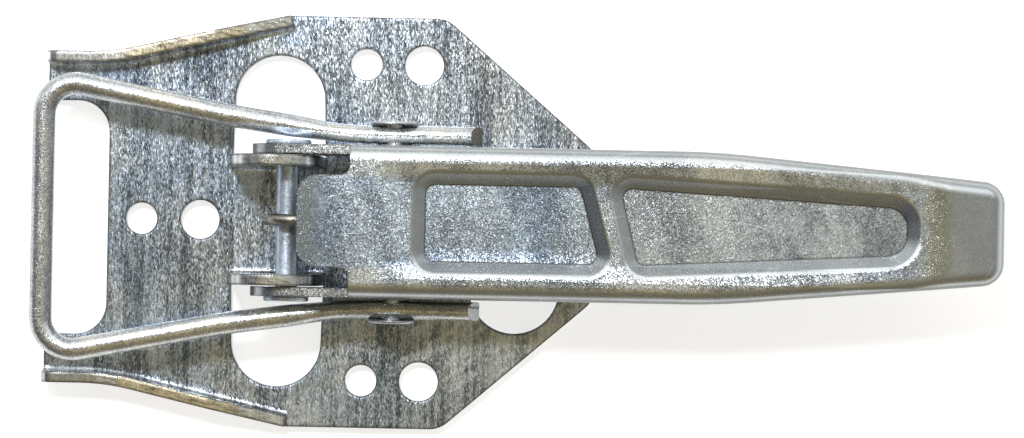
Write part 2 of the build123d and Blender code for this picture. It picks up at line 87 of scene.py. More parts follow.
# ---- node trees
class NodeBoard:
    """Lays nodes into one node tree and wires them."""

    def __init__(self, tree: bpy.types.NodeTree) -> None:
        """Empties the tree and starts on it.

        Args:
            tree: the node tree of a material or of a shader node group.
        """
        self.tree = tree
        tree.nodes.clear()

    def put(self, socket: Socket, value: Value) -> None:
        """Links or sets one input.

        Args:
            socket: the input socket.
            value: an output socket to link from, or a plain value. A colour has full alpha.
        """
        if isinstance(value, Socket):
            self.tree.links.new(value, socket)
        else:
            socket.default_value = (*value, 1.0) if socket.type == "RGBA" else value

    def add(self, kind: str, settings: dict[str, object] | None = None, **inputs: Value) -> Node:
        """Adds a node.

        Args:
            kind: the node's type name without its ShaderNode prefix.
            settings: properties of the node, set before its inputs.
            inputs: values or sockets by input name, with underscores for spaces.

        Returns:
            The new node.
        """
        node = self.tree.nodes.new("ShaderNode" + kind)
        node.location = (220.0 * (len(self.tree.nodes) % 12), -260.0 * (len(self.tree.nodes) // 12))
        for name, value in (settings or {}).items():
            setattr(node, name, value)
        for name, value in inputs.items():
            self.put(node.inputs[name.replace("_", " ")], value)
        return node

    def fed(self, kind: str, settings: dict[str, object], inputs: dict[int, Value]) -> Node:
        """Adds a node whose inputs are known by their number.

        Args:
            kind: the node's type name without its ShaderNode prefix.
            settings: properties of the node.
            inputs: values or sockets by input number.

        Returns:
            The new node.
        """
        node = self.add(kind, settings)
        for place, value in inputs.items():
            self.put(node.inputs[place], value)
        return node

    def calc(self, operation: str, *terms: Value, clamp: bool = False) -> Socket:
        """The result of a Math node, kept between 0 and 1 if clamped."""
        settings = {"operation": operation, "use_clamp": clamp}
        return self.fed("Math", settings, dict(enumerate(terms))).outputs[0]

    def product(self, first: Value, *others: Value) -> Socket:
        """All the terms multiplied together."""
        for other in others:
            first = self.calc("MULTIPLY", first, other)
        return first

    def about_half(self, value: Value, gain: Value) -> Socket:
        """The value's departure from a half, times the gain."""
        return self.product(self.calc("SUBTRACT", value, 0.5), gain)

    def vector(self, operation: str, *terms: Value) -> Node:
        """A Vector Math node."""
        return self.fed("VectorMath", {"operation": operation}, dict(enumerate(terms)))

    def axes(self, vector: Value) -> tuple[Socket, ...]:
        """The x, y and z of a place or a normal."""
        return tuple(self.add("SeparateXYZ", Vector=vector).outputs)

    def to_world(self, normal: Value) -> Socket:
        """A normal of the object's own space, in world space and of unit length."""
        kinds = {"vector_type": "NORMAL", "convert_from": "OBJECT", "convert_to": "WORLD"}
        world = self.add("VectorTransform", kinds, Vector=normal)
        return self.vector("NORMALIZE", world.outputs[0]).outputs[0]

    def span(self, value: Value, low: float, high: float, start: float = 0.0, end: float = 1.0) -> Socket:
        """The value mapped smoothly: low and what lies before it gives start, high and beyond gives end."""
        inputs = dict(enumerate((value, low, high, start, end)))
        return self.fed("MapRange", {"interpolation_type": "SMOOTHSTEP"}, inputs).outputs[0]

    def mix(self, share: Value, first: Value, second: Value, blend: str = "MIX") -> Socket:
        """The first colour with the share given of the second one blended over it."""
        settings = {"data_type": "RGBA", "blend_type": blend}
        return self.fed("Mix", settings, {0: share, 6: first, 7: second}).outputs[2]

    def tinted(self, share: Value, colour: Value, tint: Colour) -> Socket:
        """The colour, multiplied by a tint to the share given."""
        return self.mix(share, colour, self.mix(1.0, colour, tint, "MULTIPLY"))

    def noise(self, place: Value, scale: Value, detail: float = 2.0, rough: float = 0.5) -> Socket:
        """Fractal noise around 0.5, with its octaves and the weight of the finer ones."""
        return self.add("TexNoise", Vector=place, Scale=scale, Detail=detail, Roughness=rough).outputs[0]

    def placed(self, place: Value, scale: Colour, turn: float = 0.0) -> Socket:
        """A place turned about Z by degrees and then stretched along each axis."""
        turned = self.add("Mapping", Vector=place, Rotation=(0.0, 0.0, math.radians(turn)))
        return self.add("Mapping", Vector=turned.outputs[0], Scale=scale).outputs[0]


@dataclass(frozen=True)
class Landmarks:
    """Where the finishes change on the latch. A ramp holds the places where a change starts and ends."""

    middle: Ramp = (-1.0 * MM, 1.0 * MM)
    crest: float = 0.4 * MM
    slant_in: Ramp = (-46.5 * MM, -45.0 * MM)
    slant_out: Ramp = (-12.5 * MM, -14.0 * MM)
    flange_front: Ramp = (-50.5 * MM, -52.0 * MM)
    plate_fade: Ramp = (25.0 * MM, 65.0 * MM)
    plate_calm: Ramp = (10.0 * MM, 45.0 * MM)
    left_half: Ramp = (-10.0 * MM, 10.0 * MM)
    pockets_in: Ramp = (20.0 * MM, 36.0 * MM)
    pockets_out: Ramp = (175.0 * MM, 160.0 * MM)
    pocket_sides: Ramp = (15.5 * MM, 14.5 * MM)
    pocket_foot: Ramp = (29.90 * MM, 29.75 * MM)
    pocket_floor: Ramp = (29.90 * MM, 29.80 * MM)
    near_pocket_out: Ramp = (84.0 * MM, 80.0 * MM)
    pocket_edge: float = 10.5 * MM
    rim_widths: Ramp = (4.3 * MM, 5.1 * MM)
    floor_lift: float = -5.8 * MM
    floor_bend: float = 13.0
    lever_rim: Ramp = (10.5 * MM, 13.5 * MM)
    far_pocket: Ramp = (66.0 * MM, 90.0 * MM)
    tip_cool: Ramp = (162.0 * MM, 172.0 * MM)
    # band of painted warm reflection where the lever's top bends down to its tip
    tip_reflection_in: Ramp = (166.0 * MM, 170.5 * MM)
    tip_reflection_out: Ramp = (177.5 * MM, 171.5 * MM)
    tip_smooth: Ramp = (168.0 * MM, 176.0 * MM)
    eye_x: float = 27.9 * MM
    eye_reach: Ramp = (8.5 * MM, 6.5 * MM)
    eye_top: Ramp = (18.5 * MM, 19.2 * MM)
    leg_y: float = 23.15 * MM
    leg_half: float = 2.8 * MM
    leg_end: Ramp = (47.0 * MM, 47.5 * MM)
    crack_y: float = -22.2 * MM


AT = Landmarks()


class Effect(Enum):
    """Surface effects that several finishes share."""

    SPANGLE = "zinc_spangle"
    STREAKS = "rolling_streaks"
    CLOUDS = "plating_clouds"
    SCRATCHES = "handling_scratches"
    EDGES = "rounded_edges_shade"
    WIPES = "wipe_marks"
    DRAUGHT = "drawn_sheet"
    SHEARED = "sheared_faces"
    EYE = "pressed_eye"
    TAIL = "sawn_tail"


class GroupBoard(NodeBoard):
    """A shader node group that reads its inputs, most of all a place, and gives its outputs."""

    def __init__(self, name: str, **reads: float | None) -> None:
        """Opens the group.

        Args:
            name: its name.
            reads: default by name of each number that it reads, and None for a vector.
        """
        super().__init__(bpy.data.node_groups.new(name, "ShaderNodeTree"))
        for read, default in reads.items():
            socket = self._socket(read, "INPUT", default is None)
            if default is not None:
                socket.default_value = default
        self.reads = self.tree.nodes.new("NodeGroupInput").outputs
        self.gives = self.tree.nodes.new("NodeGroupOutput").inputs
        self.place = self.reads.get("Vector")

    def _socket(self, name: str, side: str, vector: bool) -> bpy.types.NodeTreeInterfaceSocket:
        """Adds an input or an output to the group."""
        kind = "NodeSocketVector" if vector else "NodeSocketFloat"
        return self.tree.interface.new_socket(name=name, in_out=side, socket_type=kind)

    def give(self, name: str, value: Socket) -> None:
        """Puts a result out under its name."""
        self._socket(name, "OUTPUT", value.type == "VECTOR")
        self.put(self.gives[name], value)


class EffectShelf:
    """Shader node groups of the shared effects, each built once."""

    def __init__(self) -> None:
        """Builds every group."""
        self.groups: dict[Effect, bpy.types.NodeTree] = {}
        grains = (self._spangle, self._streaks, self._clouds, self._scratches, self._wipes)
        for build in (*grains, self._edges, self._draught, self._sheared, self._eye, self._tail):
            build()

    def _open(self, effect: Effect, **reads: float | None) -> GroupBoard:
        """The board of a new group, which is kept under its effect."""
        board = GroupBoard(effect.value, **reads)
        self.groups[effect] = board.tree
        return board

    def _spangle(self) -> None:
        """Zinc grain: random cells drawn out along Y, each with its grey, tint and tilt, over soft patches.

        The height of a cell is (random vector - 0.5) . (place - cell centre) in metres, a flat facet whose
        slope is at most about 0.5 along each axis before it is scaled down.
        """
        board = self._open(Effect.SPANGLE, Vector=None, Grain=0.4, Draw=1.0, Contrast=1.0, Patch=1.0)
        stretch = board.add("CombineXYZ", X=1.0, Y=board.reads["Draw"], Z=1.0)
        drawn = board.vector("MULTIPLY", board.place, stretch.outputs[0]).outputs[0]
        scale = board.calc("DIVIDE", 1000.0, board.reads["Grain"])
        cells = board.add("TexVoronoi", {"feature": "F1"}, Vector=drawn, Scale=scale)
        lean = board.vector("SUBTRACT", cells.outputs["Color"], (0.5, 0.5, 0.5))
        offset = board.vector("SUBTRACT", drawn, cells.outputs["Position"])
        facet = board.vector("DOT_PRODUCT", lean.outputs[0], offset.outputs[0])
        parts = board.add("SeparateColor", Color=cells.outputs["Color"])
        soft = board.noise(drawn, board.product(scale, 0.10), 2.0, 0.55)
        patch = board.about_half(soft, board.reads["Patch"])
        fine = board.about_half(parts.outputs[0], board.reads["Contrast"])
        board.give("Fleck", board.calc("ADD", board.calc("ADD", fine, patch), 0.5, clamp=True))
        board.give("Tint", parts.outputs[1])
        board.give("Height", facet.outputs["Value"])

    def _streaks(self) -> None:
        """Rolling streaks: noise stretched 40 to 1 along Y, in a wide and a narrow set."""
        board = self._open(Effect.STREAKS, Vector=None, Pitch=1.0)
        scale = board.calc("DIVIDE", 260.0, board.reads["Pitch"])
        narrow = board.noise(board.placed(board.place, (1.0, 0.03, 0.3)), scale, 3.0, 0.6)
        wide = board.noise(board.placed(board.place, (0.22, 0.02, 0.1)), scale, 2.0, 0.5)
        both = board.calc("ADD", board.product(narrow, 0.55), board.product(wide, 0.45))
        board.give("Streak", board.span(both, 0.36, 0.64))

    def _clouds(self) -> None:
        """Slow drift of the plating between two tints over a few centimetres."""
        board = self._open(Effect.CLOUDS, Vector=None, Reach=0.03)
        scale = board.calc("DIVIDE", 1.0, board.reads["Reach"])
        board.give("Cloud", board.span(board.noise(board.place, scale, 3.0, 0.55), 0.33, 0.67))
        other = board.noise(board.placed(board.place, (0.6, 1.6, 1.0), 70.0), scale, 4.0, 0.6)
        board.give("Second", board.span(other, 0.36, 0.66))

    def _scratches(self) -> None:
        """Handling scratches: thin level lines of three stretched, turned noises, kept only in patches."""
        board = self._open(Effect.SCRATCHES, Vector=None, Density=0.5)
        lines = []
        for turn, scale in ((34.0, 55.0), (-52.0, 47.0), (81.0, 62.0)):
            level = board.noise(board.placed(board.place, (1.0, 0.09, 1.0), turn), scale, 1.0, 0.4)
            off = board.calc("ABSOLUTE", board.calc("SUBTRACT", level, 0.5))
            line = board.span(off, 0.0, 0.006, 1.0, 0.0)
            patch = board.noise(board.placed(board.place, (1.0, 0.5, 1.0), turn), 38.0 + scale, 1.0, 0.5)
            lines.append(board.product(line, board.span(patch, 0.56, 0.62)))
        both = board.calc("MAXIMUM", board.calc("MAXIMUM", lines[0], lines[1]), lines[2])
        board.give("Scratch", board.calc("MULTIPLY", both, board.reads["Density"], clamp=True))

    def _edges(self) -> None:
        """Rounded edges: a painted shade mask from the Bevel normal's departure, and the Bevel normal itself.
        """
        board = self._open(Effect.EDGES, Radius=0.4 * MM)
        bevel = board.add("Bevel", {"samples": 6}, Radius=board.reads["Radius"])
        true = board.add("NewGeometry").outputs["Normal"]
        alike = board.vector("DOT_PRODUCT", bevel.outputs[0], true).outputs["Value"]
        board.give("EdgeShade", board.span(board.calc("SUBTRACT", 1.0, alike), 0.002, 0.045))
        board.give("Normal", bevel.outputs[0])

    def _wipes(self) -> None:
        """Wipe marks: broad slanted strokes of a stretched, turned noise, kept in patches."""
        board = self._open(Effect.WIPES, Vector=None)
        strokes = board.noise(board.placed(board.place, (0.16, 1.0, 1.0), -38.0), 420.0, 3.0, 0.55)
        patch = board.noise(board.place, 34.0, 2.0, 0.5)
        wipe = board.product(board.span(strokes, 0.42, 0.68), board.span(patch, 0.45, 0.62))
        board.give("Wipe", wipe)

    def _draught(self) -> None:
        """The drawn sheet round the pressed pockets.

        Outside the pockets' edge it rises for 4 to 5 mm: height = slope * (|y| - edge) in metres. The near
        pocket's floor lifts at its foot on the -Y side: height = 13 (y + 0.0058)^2. Over the pockets the
        normal is the true one plus ease * Z, which softens their walls, and foot marks the lowest 0.3 mm.
        """
        board = self._open(Effect.DRAUGHT, Vector=None, Slope=0.04, Ease=0.35)
        along, across, height = board.axes(board.place)
        aside = board.calc("ABSOLUTE", across)
        room = board.product(board.span(along, *AT.pockets_in), board.span(along, *AT.pockets_out))
        out = board.calc("MAXIMUM", board.calc("SUBTRACT", aside, AT.pocket_edge), 0.0)
        out = board.calc("MINIMUM", out, board.span(across, *AT.middle, *AT.rim_widths))
        rise = board.product(out, board.reads["Slope"], room)
        near = board.calc("MAXIMUM", board.calc("SUBTRACT", AT.floor_lift, across), 0.0)
        near = board.calc("MINIMUM", near, AT.rim_widths[0])
        sunk = board.product(board.span(height, *AT.pocket_floor), board.span(along, *AT.near_pocket_out))
        dish = board.product(near, near, AT.floor_bend, sunk, room)
        board.give("Height", board.calc("ADD", rise, dish))
        true = board.add("TexCoord").outputs["Normal"]
        upward = board.axes(true)[2]
        inner = board.product(board.span(aside, *AT.pocket_sides), room, board.span(upward, 0.35, 0.6))
        foot = board.product(board.span(height, *AT.pocket_foot), board.span(upward, 0.95, 0.8), inner)
        board.give("Foot", foot)
        lift = board.add("CombineXYZ", X=0.0, Y=0.0, Z=board.product(inner, board.reads["Ease"]))
        eased = board.vector("ADD", true, lift.outputs[0])
        board.give("Normal", board.to_world(eased.outputs[0]))

    def _sheared(self) -> None:
        """Sheared faces of the folded sheet: torn along the slanted flanges, smooth at their front."""
        board = self._open(Effect.SHEARED, Vector=None)
        along = board.axes(board.place)[0]
        torn = board.noise(board.placed(board.place, (0.35, 1.6, 1.0), 12.0), 700.0, 3.0, 0.7)
        board.give("Torn", board.span(torn, 0.30, 0.62))
        slanted = board.product(board.span(along, *AT.slant_in), board.span(along, *AT.slant_out))
        board.give("Slanted", slanted)
        board.give("Front", board.span(along, *AT.flange_front))

    def _eye(self) -> None:
        """The crown of the pressed eye, rounded over like the leg on both sides of it.

        Over the eye the normal is (0, s, sqrt(1 - s^2)), with s the place across the leg from -0.85 to 0.85.
        """
        board = self._open(Effect.EYE, Vector=None)
        along, across, height = board.axes(board.place)
        aside = board.calc("SUBTRACT", board.calc("ABSOLUTE", across), AT.leg_y)
        lean = board.span(aside, -AT.leg_half, AT.leg_half, -0.85, 0.85)
        lean = board.product(lean, board.calc("SIGN", across))
        rise = board.calc("SQRT", board.calc("SUBTRACT", 1.0, board.product(lean, lean)))
        crown = board.add("CombineXYZ", X=0.0, Y=lean, Z=rise)
        off = board.calc("ABSOLUTE", board.calc("SUBTRACT", along, AT.eye_x))
        over = board.product(board.span(off, *AT.eye_reach), board.span(height, *AT.eye_top))
        true = board.add("TexCoord").outputs["Normal"]
        pick = board.fed("Mix", {"data_type": "VECTOR"}, {0: over, 4: true, 5: crown.outputs[0]})
        board.give("Normal", board.to_world(pick.outputs[1]))

    def _tail(self) -> None:
        """Sawn ends of the legs: bare metal, painted shade on the +Y end, painted light and a crack on the -Y
        end.
        """
        board = self._open(Effect.TAIL, Vector=None)
        along, across, _ = board.axes(board.place)
        ahead = board.axes(board.add("TexCoord").outputs["Normal"])[0]
        cut = board.product(board.span(ahead, 0.55, 0.75), board.span(along, *AT.leg_end))
        board.give("Cut", cut)
        board.give("LitEnd", board.span(across, *AT.middle[::-1]))
        waver = board.about_half(board.noise(board.place, 1100.0), 1.6 * MM)
        line = board.calc("SUBTRACT", board.calc("SUBTRACT", across, AT.crack_y), waver)
        board.give("Crack", board.span(board.calc("ABSOLUTE", line), 0.1 * MM, 0.4 * MM, 1.0, 0.0))


# ---- finishes
class MaterialBoard(NodeBoard):
    """The nodes of a material, with the places and effects that its finish reads."""

    def __init__(self, material: bpy.types.Material, shelf: EffectShelf) -> None:
        """Reads the object coordinates.

        Args:
            material: the new material.
            shelf: the shared effects.
        """
        material.use_nodes = True
        super().__init__(material.node_tree)
        coords = self.add("TexCoord")
        self.shelf = shelf
        self.place = coords.outputs["Object"]
        self.along, self.across, self.height = self.axes(self.place)
        self.upward = self.calc("ABSOLUTE", self.axes(coords.outputs["Normal"])[2])

    def effect(self, effect: Effect, **inputs: Value) -> dict[str, Socket]:
        """Puts a shared effect in.

        Args:
            effect: which effect.
            inputs: its values or sockets by name, the place aside.

        Returns:
            What it gives, by name.
        """
        node = self.tree.nodes.new("ShaderNodeGroup")
        node.node_tree = self.shelf.groups[effect]
        for name, value in {"Vector": self.place, **inputs}.items():
            if name in node.inputs:
                self.put(node.inputs[name], value)
        return dict(node.outputs.items())


@dataclass
class Relief:
    """What the light meets: bump height, normal, painted shade, and how metallic the face is."""

    height: Socket
    normal: Socket
    painted_shade: Socket
    metallic: Value


@dataclass(frozen=True)
class ZincFinish:
    """Bright zinc plate over steel: a fine grain of light and dark facets, cool and straw tints, scratches.

    The grain is strong on faces that lie square to the object's Z and weak on bent and upright ones. Flanges
    stand on the base plate above the rise, and the draught is the sheet's slope beside the lever's pockets.
    """

    name: str
    dark: Colour = (0.14, 0.155, 0.17)
    light: Colour = (0.82, 0.85, 0.86)
    cool: Colour = (0.62, 0.76, 1.00)
    straw: Colour = (1.00, 0.88, 0.62)
    cool_share: float = 0.75
    straw_share: float = 0.35
    grain: float = 0.28
    draw: float = 1.0
    contrast: float = 0.8
    patch: float = 1.0
    cloud_reach: float = 20.0 * MM
    drift: float = 0.25
    rise: float = 0.0
    tilt: float = 0.16
    slope_grain: float = 0.35
    draught: float = 0.0
    cool_floor: float = 0.35
    # painted warm reflection on the lever's bend down to its tip
    tip_painted_reflection: Colour = (0.71, 0.65, 0.51)
    shear: Colour | None = None
    shear_dark: Colour = (0.30, 0.30, 0.28)
    shear_front: Colour = (0.42, 0.43, 0.42)
    # painted gold glints of the warm room on the torn slanted crests
    slant_glint_dark: Colour = (0.17, 0.14, 0.09)
    slant_glint_light: Colour = (0.84, 0.77, 0.56)
    wire: bool = False
    # painted shade and painted light on the two sawn ends, which face the same way
    sawn_shaded: Colour = (0.13, 0.125, 0.10)
    sawn_lit: Colour = (0.60, 0.63, 0.62)
    crack: Colour = (0.05, 0.05, 0.04)
    streak: float = 0.0
    streak_pitch: float = 0.3
    wipe: float = 0.0
    scratch: float = 0.3
    scratch_tone: Colour = (0.90, 0.92, 0.94)
    roughness: float = 0.30
    roughness_spread: float = 0.10
    edge: float = 0.4 * MM
    # edge, foot and bend shares darken the colour towards a near-black grey: painted shade on rolled edges,
    # pocket feet and bends
    edge_shade: float = 0.6
    painted_shade_tone: Colour = (0.10, 0.10, 0.10)
    foot_shade: float = 0.8
    bend_shade: float = 0.6
    metallic: float = 0.94
    bend_metallic: float = 0.45

    def raised(self, board: MaterialBoard) -> Socket:
        """1 above the rise, where the flanges stand, and 0 below it."""
        return board.span(board.height, self.rise, self.rise + AT.crest)

    def level(self, board: MaterialBoard) -> Socket:
        """How flat and square to Z a face is.

        Args:
            board: the material's board.

        Returns:
            1 on flat faces, less on bent and raised ones and towards the quiet ends.
        """
        level = board.span(board.upward, 0.95, 0.997, self.slope_grain, 1.0)
        if self.rise > 0.0:
            level = board.product(level, board.span(self.raised(board), 0.0, 1.0, 1.0, 0.2))
        if self.wipe > 0.0:
            level = board.product(level, board.span(board.along, *AT.plate_calm, 1.0, 0.62))
        if self.draught > 0.0:
            level = board.product(level, board.span(board.along, *AT.tip_smooth, 1.0, 0.35))
        return level

    def shade(self, board: MaterialBoard, fleck: Socket) -> Socket:
        """Lightness of the zinc, from grain, streaks, wipe marks and a slow drift along the base plate.

        Args:
            board: the material's board.
            fleck: lightness of the grain.

        Returns:
            The lightness, 0 to 1.
        """
        shade = fleck
        if self.streak > 0.0:
            streaks = board.effect(Effect.STREAKS, Pitch=self.streak_pitch)
            shade = board.calc("ADD", shade, board.about_half(streaks["Streak"], self.streak), clamp=True)
        if self.wipe > 0.0:
            lift = board.product(board.effect(Effect.WIPES)["Wipe"], self.wipe)
            # lighter before 25 mm and darker past 65 mm along X on the +Y half, reversed and weaker on the -Y
            # half
            fade = board.span(board.along, *AT.plate_fade, 0.10, -0.15)
            fade = board.product(fade, board.span(board.across, *AT.left_half, -0.6, 1.0))
            shade = board.calc("ADD", shade, board.calc("ADD", lift, fade), clamp=True)
        return shade

    def colour(self, board: MaterialBoard, crystals: dict[str, Socket], level: Socket) -> Socket:
        """Greys of the grain with their tints, and a painted warm reflection where the lever bends down to
        its tip.

        Args:
            board: the material's board.
            crystals: what the grain puts out.
            level: 1 on faces square to Z, less on the others.

        Returns:
            The colour.
        """
        clouds = board.effect(Effect.CLOUDS, Reach=self.cloud_reach)
        drift = board.product(board.about_half(clouds["Second"], self.drift), level)
        shade = board.calc("ADD", self.shade(board, crystals["Fleck"]), drift, clamp=True)
        colour = board.mix(shade, self.dark, self.light)
        waver = board.about_half(crystals["Tint"], 0.5)
        cool = board.span(clouds["Cloud"], 0.0, 1.0, self.cool_floor, 1.0)
        cool = board.product(board.calc("ADD", cool, waver, clamp=True), level, self.cool_share)
        if self.draught > 0.0:
            rim = board.span(board.calc("ABSOLUTE", board.across), *AT.lever_rim, 1.0, 0.25)
            far = board.span(board.along, *AT.far_pocket, 1.0, 0.40)
            cool = board.product(cool, rim, far, board.span(board.along, *AT.tip_cool, 1.0, 0.2))
        colour = board.tinted(cool, colour, self.cool)
        if self.draught > 0.0:
            # painted warm reflection and shade on the band where the lever's top bends down to its tip
            tip = board.product(
                board.span(board.along, *AT.tip_reflection_in),
                board.span(board.along, *AT.tip_reflection_out, 0.0, 0.8),
                board.span(level, 0.20, 0.34),
            )
            colour = board.tinted(tip, colour, self.tip_painted_reflection)
        straw = board.calc("SUBTRACT", board.calc("SUBTRACT", clouds["Second"], waver), 0.35, clamp=True)
        return board.tinted(board.product(straw, self.straw_share), colour, self.straw)

    def sheared(self, board: MaterialBoard, colour: Socket) -> Socket:
        """Bare sheared metal on the flange crests: torn with painted gold glints on the slants, plain at the
        front.

        Args:
            board: the material's board.
            colour: colour of the plating.

        Returns:
            The colour with the crest on it.
        """
        faces = board.effect(Effect.SHEARED)
        plain = board.mix(faces["Torn"], self.shear_dark, self.shear)
        # painted gold glints on the slanted crest, over its torn grain
        slant_glint = board.mix(faces["Torn"], self.slant_glint_dark, self.slant_glint_light)
        face = board.mix(faces["Slanted"], plain, slant_glint)
        face = board.mix(faces["Front"], face, self.shear_front)
        crest = board.product(self.raised(board), board.span(board.upward, 0.70, 0.90, 0.0, 0.85))
        return board.mix(crest, colour, face)

    def sawn(self, board: MaterialBoard, colour: Socket) -> Socket:
        """Bare metal on the sawn ends of the wire.

        Args:
            board: the material's board.
            colour: colour of the plating.

        Returns:
            The colour with the ends on it.
        """
        tail = board.effect(Effect.TAIL)
        # the -Y end is painted lighter than the +Y end, though both face the same way
        end = board.mix(tail["LitEnd"], self.sawn_shaded, self.sawn_lit)
        end = board.mix(board.product(tail["Crack"], tail["LitEnd"]), end, self.crack)
        return board.mix(tail["Cut"], colour, end)

    def drawn(self, board: MaterialBoard, relief: Relief) -> Relief:
        """Adds the drawn sheet round the pockets, duller bends, and painted shade on bends and pocket feet.

        Args:
            board: the material's board.
            relief: the relief of the plain sheet.

        Returns:
            The new relief.
        """
        sheet = board.effect(Effect.DRAUGHT, Slope=self.draught)
        # painted shade on the sheet's bends
        bent = board.product(board.span(board.upward, 0.01, 0.06), board.span(board.upward, 0.70, 0.45))
        # painted shade in the crease at the foot of the pocket walls
        painted_shade = board.calc("MAXIMUM", relief.painted_shade, board.product(sheet["Foot"], self.foot_shade))
        return Relief(
            height=board.calc("ADD", relief.height, sheet["Height"]),
            normal=sheet["Normal"],
            painted_shade=board.calc("MAXIMUM", painted_shade, board.product(bent, self.bend_shade)),
            metallic=board.span(bent, 0.0, 1.0, self.metallic, self.bend_metallic),
        )

    def material(self, shelf: EffectShelf) -> bpy.types.Material:
        """Builds the finish.

        Args:
            shelf: the shared effects.

        Returns:
            The material.
        """
        material = bpy.data.materials.new(self.name)
        board = MaterialBoard(material, shelf)
        level = self.level(board)
        crystals = board.effect(
            Effect.SPANGLE,
            Grain=self.grain,
            Draw=self.draw,
            Contrast=board.product(level, self.contrast),
            Patch=board.product(level, self.patch),
        )
        colour = self.colour(board, crystals, level)
        if self.shear is not None:
            colour = self.sheared(board, colour)
        if self.wire:
            colour = self.sawn(board, colour)
        if self.scratch > 0.0:
            scratches = board.effect(Effect.SCRATCHES, Density=self.scratch)
            colour = board.mix(scratches["Scratch"], colour, self.scratch_tone)
        edges = board.effect(Effect.EDGES, Radius=self.edge)
        height = board.product(crystals["Height"], level, self.tilt)
        # painted shade along the rolled edges
        painted_shade = board.product(edges["EdgeShade"], self.edge_shade)
        relief = Relief(height, edges["Normal"], painted_shade, self.metallic)
        if self.draught > 0.0:
            relief = self.drawn(board, relief)
        if self.wire:
            relief.normal = board.effect(Effect.EYE)["Normal"]
        # painted shade on edges, bends and pocket feet, mixed into the colour
        colour = board.mix(relief.painted_shade, colour, self.painted_shade_tone)
        half = self.roughness_spread / 2
        rough = board.span(crystals["Tint"], 0.0, 1.0, self.roughness + half, self.roughness - half)
        bump = board.add("Bump", Strength=1.0, Distance=1.0, Height=relief.height, Normal=relief.normal)
        shader = board.add("BsdfPrincipled", Base_Color=colour, Roughness=rough, Metallic=relief.metallic)
        board.put(shader.inputs["Normal"], bump.outputs[0])
        board.add("OutputMaterial", Surface=shader.outputs[0])
        return material


class SteelTone(Enum):
    """The finishes of the latch, one for each kind of piece."""

    BASE_SHEET = ZincFinish(
        "base_sheet", light=(0.88, 0.91, 0.92), cool=(0.58, 0.73, 0.98), cool_share=0.85, cool_floor=0.6,
        straw_share=0.25, grain=0.21, draw=0.30, contrast=1.35, patch=0.6, drift=0.28, rise=3.2 * MM,
        tilt=0.38, shear=(0.78, 0.80, 0.78), streak=0.8, wipe=0.45, roughness=0.28, edge=1.2 * MM,
        edge_shade=0.85,
    )
    LEVER_SHEET = ZincFinish(
        "lever_sheet", light=(0.74, 0.775, 0.785), cool_share=0.95, cool_floor=0.7, straw_share=0.10,
        grain=0.22, contrast=0.9, patch=0.45, drift=0.5, tilt=0.20, slope_grain=0.2, draught=0.13,
        roughness=0.28, edge=0.6 * MM, edge_shade=0.8,
    )
    BAIL_WIRE = ZincFinish(
        "bail_wire", light=(0.92, 0.93, 0.93), cool_share=0.15, contrast=0.7, patch=0.5, tilt=0.12,
        slope_grain=0.7, wire=True, scratch=0.0,
    )
    PIN_STEEL = ZincFinish(
        "pin_steel", dark=(0.50, 0.54, 0.57), light=(0.98, 1.0, 1.0), cool_floor=0.9, contrast=0.9,
        slope_grain=0.8, scratch=0.0, roughness=0.38,
    )
    RIVET_STEEL = ZincFinish("rivet_steel", light=(0.9, 0.92, 0.92), contrast=0.4, patch=0.4, scratch=0.0)
    SPRING_STEEL = ZincFinish(
        "spring_steel", dark=(0.10, 0.095, 0.08), light=(0.52, 0.50, 0.43), contrast=0.5, tilt=0.08,
        scratch=0.0,
    )


class FinishShop:
    """Every finish of the latch, made once."""

    def __init__(self) -> None:
        """Builds the shared effects and the materials."""
        shelf = EffectShelf()
        self.made = {tone: tone.value.material(shelf) for tone in SteelTone}

    def dress(self, piece: Piece, tone: SteelTone) -> None:
        """Gives a piece its finish.

        Args:
            piece: the object.
            tone: its finish.
        """
        if not piece.data.materials:
            piece.data.materials.append(self.made[tone])
        for i in range(len(piece.data.materials)):
            piece.data.materials[i] = self.made[tone]


# ---- surfaces
def new_piece(name: str, points: np.ndarray, faces: list[list[int]]) -> Piece:
    """Makes a smooth shaded mesh object at the origin.

    Args:
        name: its name.
        points: its vertices, one row each.
        faces: the vertices of each face.

    Returns:
        The object.
    """
    mesh = bpy.data.meshes.new(name)
    mesh.from_pydata(points.tolist(), [], faces)
    mesh.polygons.foreach_set("use_smooth", np.ones(len(mesh.polygons), bool))
    mesh.update()
    piece = bpy.data.objects.new(name, mesh)
    bpy.context.scene.collection.objects.link(piece)
    return piece


def capped(name: str, points: np.ndarray, poles: np.ndarray) -> Piece:
    """A tube of rings, closed around, with a fan of triangles at each end.

    Quad (i, j) joins the points j and j + 1 of ring i to those of ring i + 1, counted round. The poles come
    after the rings.

    Args:
        name: the piece's name.
        points: the rings, as an array of ring, point and coordinate.
        poles: the middle point of both ends.

    Returns:
        The object.
    """
    rings, around, _ = points.shape
    i, j = np.meshgrid(np.arange(rings - 1), np.arange(around), indexing="ij")
    k = (j + 1) % around
    quads = np.stack([i * around + j, i * around + k, (i + 1) * around + k, (i + 1) * around + j], -1)
    j = np.arange(around)
    k = (j + 1) % around
    last = (rings - 1) * around
    pole = np.full(around, rings * around)
    fans = np.concatenate([np.stack([k, j, pole], -1), np.stack([last + j, last + k, pole + 1], -1)])
    faces = [*quads.reshape(-1, 4).tolist(), *fans.tolist()]
    return new_piece(name, np.concatenate([points.reshape(-1, 3), poles]), faces)


